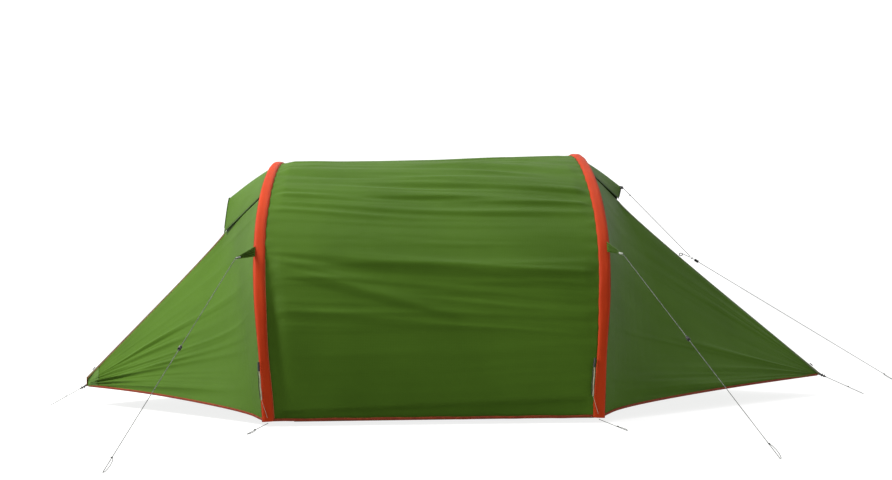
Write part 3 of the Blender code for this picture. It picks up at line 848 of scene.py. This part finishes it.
def make_tunnel_hems():
    """Red tape along the tunnel's lower edges, a little wavy, with its stitching."""
    section = flat_outline(0.0030, 0.0105)
    for label, rear in (("front", False), ("rear", True)):
        ends = [arch_curve(s, 2, -s["sign"] * SLEEVE_R * 0.6, lift=FLY_LIFT)[0] for s in SIDES]
        line = np.array([ends[0] + (ends[1] - ends[0]) * k for k in np.linspace(0, 1, 90)])
        line[:, 2] += 0.006 + 0.0008 * np.sin(np.linspace(0, 40, 90))
        line[:, 1] -= 0.0012 * np.sin(np.linspace(0, 23, 90)) + 0.001
        made = ribbon(f"tunnel_hem_{label}", flip_y(line, rear), section, "tape", "tent")
        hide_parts(f"hem_tape_{label}")
        thread = flip_y(line + [0, -0.0019, 0.003], rear)
        stitches(f"tunnel_hem_stitches_{label}", thread, "tent")


# ---- cords and their fittings -------------------------------------------------------------------
def vector_path(points):
    return np.array([tuple(p) for p in points])


def cord_curve(name, points, radius=CORD_R):
    data = bpy.data.curves.new(name, "CURVE")
    data.dimensions, data.bevel_depth, data.bevel_resolution = "3D", radius, 3
    data.use_fill_caps = True
    line = data.splines.new("POLY")
    line.points.add(len(points) - 1)
    for dot, point in zip(line.points, points):
        dot.co = (*point, 1)
    return add_object(name, data, "cord", "tent")


def straight(start, end, count=24):
    start, end = Vector(start), Vector(end)
    return [start.lerp(end, k / (count - 1)) for k in range(count)]


def knot(name, at, size=0.0022):
    """An overhand knot: a trefoil of the same cord."""
    points = []
    for k in range(37):
        a = 2 * pi * k / 36
        spot = Vector((sin(a) + 2 * sin(2 * a), cos(a) - 2 * cos(2 * a), -sin(3 * a)))
        points.append(Vector(at) + spot * size * 0.5)
    return cord_curve(name, points, CORD_R * 0.9)


def peg_loop(name, points, reach=0.085, wide=0.007):
    """The far side of the loop that a peg goes through, from its knot to the cord's end."""
    end, start = Vector(points[-1]), Vector(points[0])
    back = (start - end).normalized()
    side = back.cross(Vector((0, 0, 1))).normalized()
    first, clear = end + back * reach, 0.0026
    shares = [k / 19 for k in range(20)]
    line = [first.lerp(end, t) + side * (wide * sin(pi * t) ** 0.6 + clear) for t in shares]
    tied = knot(f"{name}_knot", first + Vector((0, 0, 0.002)))
    return [tied, cord_curve(f"{name}_loop", line, CORD_R * 0.9)]


def declare_cord(name, node, points):
    """A cord along these points in place of its CAD node, which it hides."""
    made = cord_curve(name, points)
    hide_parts(node)


# half of the line-lock's section from its end to its middle: place along the cord, radius
LOCK_PROFILE = [
    (-0.0108, 0.0058), (-0.0100, 0.0072), (-0.0080, 0.0074), (-0.0070, 0.0060), (-0.0050, 0.0056),
    (-0.0040, 0.0068), (-0.0030, 0.0068), (-0.0020, 0.0056),
]


def make_runner(name, node_name, at, along):
    """A line-lock: a waisted barrel with grip rings, and a bore for the cord."""
    size, around, bore = 0.85, 24, 0.0044
    mirrored = [(-s, r) for s, r in reversed(LOCK_PROFILE)]
    profile = [*LOCK_PROFILE, *mirrored, (0.0104, bore), (-0.0104, bore), LOCK_PROFILE[0]]
    axis, side = Vector(along).normalized(), Vector(along).cross(Vector((0, 0, 1))).normalized()
    up = side.cross(axis)
    angles = [2 * pi * k / around for k in range(around)]
    rings = np.array([
        [Vector(at) + (axis * s + (side * cos(a) + up * sin(a)) * r) * size for a in angles]
        for s, r in profile
    ])
    mesh = grid_mesh(name, rings, (0.04, 0.04), closed=True)
    made = add_object(name, mesh, "black", node_name)
    made.modifiers.new("weld", "WELD").merge_threshold = 0.00001
    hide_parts(node_name)
    return made


def make_guys(side):
    """The guy from each pull-out tab to its peg, with its line-lock, and the cord at the arch's foot."""
    name = side["name"]
    for label, way in (("front", -1), ("rear", 1)):
        x, y, z = side["tab"]
        point = Vector((x, way * y, z))
        peg_x, front_y = side["guy_peg"]
        peg = Vector((peg_x, -front_y if way < 0 else REAR_PEG_Y, CORD_END_Z))
        along = (peg - point).normalized()
        start = point + along * 0.0033
        runner_at = point.lerp(peg, side["runner"])
        runner = make_runner(f"line_lock_{label}_{name}", f"runner_{label}_{name}", runner_at, along)
        route = straight(start, peg)
        pieces = [runner, *peg_loop(f"guy_{label}_{name}", route)]
        declare_cord(f"guy_{label}_{name}", f"guy_line_{label}_{name}", route)
        make_tab(side, label, way, point)
        make_foot_peg(side, label, way)


def make_tab(side, label, way, point):
    """A pleated triangle from the sleeve, and a reflective tag near its point."""
    name = side["name"]
    arch = arch_curve(side, 400, 0.0, side["hem"], side["height"] * 0.95)
    roots = [arch[np.argmin(np.abs(arch[:, 2] - z))] * [1, -way, 1] for z in (0.630, 0.670)]
    centre = (Vector(roots[0]) + Vector(roots[1])) / 2
    out = (point - centre).normalized()
    slope = (Vector(roots[1]) - Vector(roots[0])).normalized()
    clear = (out - slope * out.dot(slope)).normalized()
    fold = slope.cross(clear).normalized()
    rows = []
    for k in np.linspace(-1, 1, 65):
        root = centre + slope * 0.026 * k + clear * (SLEEVE_R * 0.8)
        tip = point + slope * 0.003 * k
        pleat = fold * 0.0042 * sin(k * 13)
        shares = np.linspace(0, 1, 14)
        rows.append([root.lerp(tip, t) + pleat * (1 - 0.6 * t) * min(1, t * 6) for t in shares])
    rows = np.array([vector_path(row) for row in rows])
    cloth(f"pull_out_{label}_{name}", rows, "fly", "tent", [f"guy_tab_{label}_{name}"])
    tag = vector_path([centre.lerp(point, t) for t in np.linspace(0.80, 0.985, 10)])
    section = flat_outline(0.003, 0.008)
    ribbon(f"pull_out_tag_{label}_{name}", tag, section, "reflective", "tent")


def make_foot_peg(side, label, way):
    name = side["name"]
    start = Vector((side["arch_x"], way * (side["half"] + SLEEVE_R + 0.006), side["hem"] - 0.004))
    x, y = side["foot_peg"]
    end = Vector((x, way * y, CORD_END_Z))
    route = straight(start, end, 16)
    pieces = peg_loop(f"foot_{label}_{name}", route, reach=0.10, wide=0.006)
    declare_cord(f"foot_cord_{label}_{name}", f"peg_cord_{label}_{name}", route)


def make_tip(side):
    """The buckle at the porch's tip and the cord from it to its peg."""
    name = side["name"]
    start = Vector((side["sign"] * (TIP_X + 0.006), 0, side["tip_z"][0] + 0.003))
    peg = Vector((side["tip_peg"], 0, CORD_END_Z))
    along = (peg - start).normalized()
    make_ladder_lock(name, start, along)
    cord_start = start + along * 0.0313
    route = straight(cord_start, peg, 16)
    pieces = peg_loop(f"tip_{name}", route, reach=0.075, wide=0.006)
    declare_cord(f"tip_line_{name}", f"tip_cord_{name}", route)


def make_ladder_lock(name, start, along):
    """An open frame with two cross bars, and the webbing that goes through it."""
    across = Vector((0, 1, 0))
    near, far, half = 0.002, 0.028, 0.0075
    corners = [(near, -half), (far, -half), (far, half), (near, half), (near, -half)]
    bars = [*zip(corners, corners[1:]), *(((s, -half), (s, half)) for s in (0.011, 0.019))]
    whole = None
    for k, ends in enumerate(bars):
        a, b = (start + along * s + across * y for s, y in ends)
        path = vector_path([a.lerp(b, t) for t in np.linspace(0, 1, 4)])
        bar = ribbon(f"tip_lock_bar_{name}_{k}", path, round_outline(0.0026), "black", "tent")
        whole = whole or bar
    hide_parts(f"tip_buckle_{name}")
    places = np.linspace(-0.004, 0.024, 24)
    path = vector_path([start + along * s + Vector((0, 0, 0.0018 * sin(s * 600))) for s in places])
    ribbon(f"tip_webbing_{name}", path, flat_outline(0.0042, 0.0115), "black", "tent")


def make_vent_guy(side):
    """Three cords that meet in a knot: from the hood, from the ridge's loop, and on to the peg."""
    x, _, _, top, _ = side["rim"]
    start = Vector((x + 0.010, 0, top - 0.004))
    joint, peg = VENT_GUY_JOINT, VENT_GUY_PEG
    along = (peg - joint).normalized()
    main = straight(joint + along * VENT_GUY_GAP, peg, 30)
    lock_at = joint + along * (VENT_GUY_GAP + 0.020)
    pieces = [make_runner("line_lock_vent", "runner_vent", lock_at, along), *peg_loop("guy_vent", main)]
    upper = straight(start, joint + (start - joint).normalized() * VENT_GUY_GAP, 20)
    upper_knot = knot("guy_vent_upper_knot", upper[2])
    declare_cord("guy_vent_upper", "guy_upper_vent", upper)
    link = straight(joint + (RIDGE_LOOP - joint).normalized() * VENT_GUY_GAP, RIDGE_LOOP, 8)
    joint_knot = knot("guy_vent_joint_knot", joint, size=0.0034)
    declare_cord("guy_vent_link", "guy_link_vent", link)
    declare_cord("guy_vent", "guy_line_vent", main)
    tab = vector_path([Vector((x - 0.006, 0, top)).lerp(start, t) for t in np.linspace(0, 1, 8)])
    ribbon("vent_guy_tab", tab, flat_outline(0.005, 0.012), "black", "tent")
    angles = [2 * pi * k / 24 for k in range(25)]
    ring = [RIDGE_LOOP + Vector((0.007 * cos(a) - 0.006, 0, 0.006 * sin(a) - 0.004)) for a in angles]
    ribbon("ridge_loop", vector_path(ring), round_outline(0.0018), "black", "tent")


def make_foot_strap(side):
    """The webbing beside the arch's front foot, its buckle, dark tail and thin strap to the foot."""
    name = side["name"]
    aside, forward = side["strap"]
    path = arch_curve(side, 60, aside, 0.100, 0.240) + [0, forward, 0]
    path[:, 0] += 0.0006 * np.sin(np.linspace(0, 14, 60))
    foot = np.array([side["arch_x"] - 0.002, -side["half"] - SLEEVE_R - 0.001, 0.034])
    strip, buckle = flat_outline(0.0048, 0.0052), flat_outline(0.0085, 0.0110, 0.4)
    thin = np.array([path[0] + (foot - path[0]) * t for t in np.linspace(0, 1, 16)])
    at_top, dark_tail = path[-15:] + [-0.001, -0.002, 0], path[2:-16] + [-0.0058, 0.0010, 0]
    made = ribbon(f"foot_webbing_{name}", path, strip, "webbing", "tent")
    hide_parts(f"foot_strap_{name}")
    ribbon(f"foot_buckle_{name}", at_top, buckle, "black", "tent")
    ribbon(f"foot_end_{name}", dark_tail, flat_outline(0.0022, 0.0050), "black", "tent")
    ribbon(f"foot_tail_{name}", thin, flat_outline(0.0012, 0.004), "webbing", "tent")


def make_zip_slider(side):
    node = f"zip_slider_{side['name']}"
    low, high = (Vector(p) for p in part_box(node))
    middle = (low + high) / 2
    x, z = side["ridge_top"]
    along = (Vector((x, 0, z)) - Vector((side["sign"] * TIP_X, 0, side["tip_z"][1]))).normalized()
    body = vector_path([middle + along * s for s in np.linspace(-0.0078, 0.0078, 10)])
    section = flat_outline(0.0045, 0.0085, 0.5)
    made = ribbon(f"zip_slider_body_{side['name']}", body, section, "zip_metal", node)
    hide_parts(node)
    over = Vector((0, 0.005, 0.0025))
    pull = vector_path([middle + along * s + over for s in np.linspace(-0.009, 0.004, 10)])
    ribbon(f"zip_pull_{side['name']}", pull, flat_outline(0.0016, 0.0045, 0.5), "black", node)


# ---- the inner tent -----------------------------------------------------------------------------
def make_inner_tent():
    """The canopy as hung cloth; the other inner parts stay as the CAD has them."""
    (x0, _, bottom), (x1, half, height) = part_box("inner_canopy")
    around, along = 260, 60
    low = np.arctan2(bottom / height, 1)
    angle = low + (pi - 2 * low) * np.linspace(0, 1, around)
    y = -half * np.sign(np.cos(angle)) * np.abs(np.cos(angle)) ** (2 / ARCH_POWER)
    z = height * np.sin(angle) ** (2 / ARCH_POWER)
    x = np.linspace(x0, x1, along)
    points = np.stack(np.broadcast_arrays(x, y[:, None], z[:, None]), axis=-1)
    u, v = np.meshgrid(np.linspace(0, 1, along), np.linspace(0, 1, around))
    wrinkles = 0.0015 * noise_rows(u, v, 51, 3, (2.0, 6.0)) * np.sin(pi * u)
    points[..., 2] -= 0.010 * np.sin(pi * u) * np.sin(pi * v) + wrinkles
    cloth("inner_canopy_cloth", points, "liner", "tent", ["inner_canopy"])
    for name in ("left", "right"):
        recolour(f"inner_end_{name}", "liner")
        recolour(f"inner_door_{name}", "mesh")
    recolour("groundsheet_tub", "floor_cloth")


def write_sizes():
    bpy.context.view_layer.update()


make_camera()
make_stage()
make_tunnel()
make_tunnel_hems()
for arch in SIDES:
    make_porch(arch)
    make_vent(arch)
    make_sleeve(arch)
    make_guys(arch)
    make_tip(arch)
    make_foot_strap(arch)
    make_zip_slider(arch)
make_vent_guy(SIDES[1])
make_inner_tent()
write_sizes()
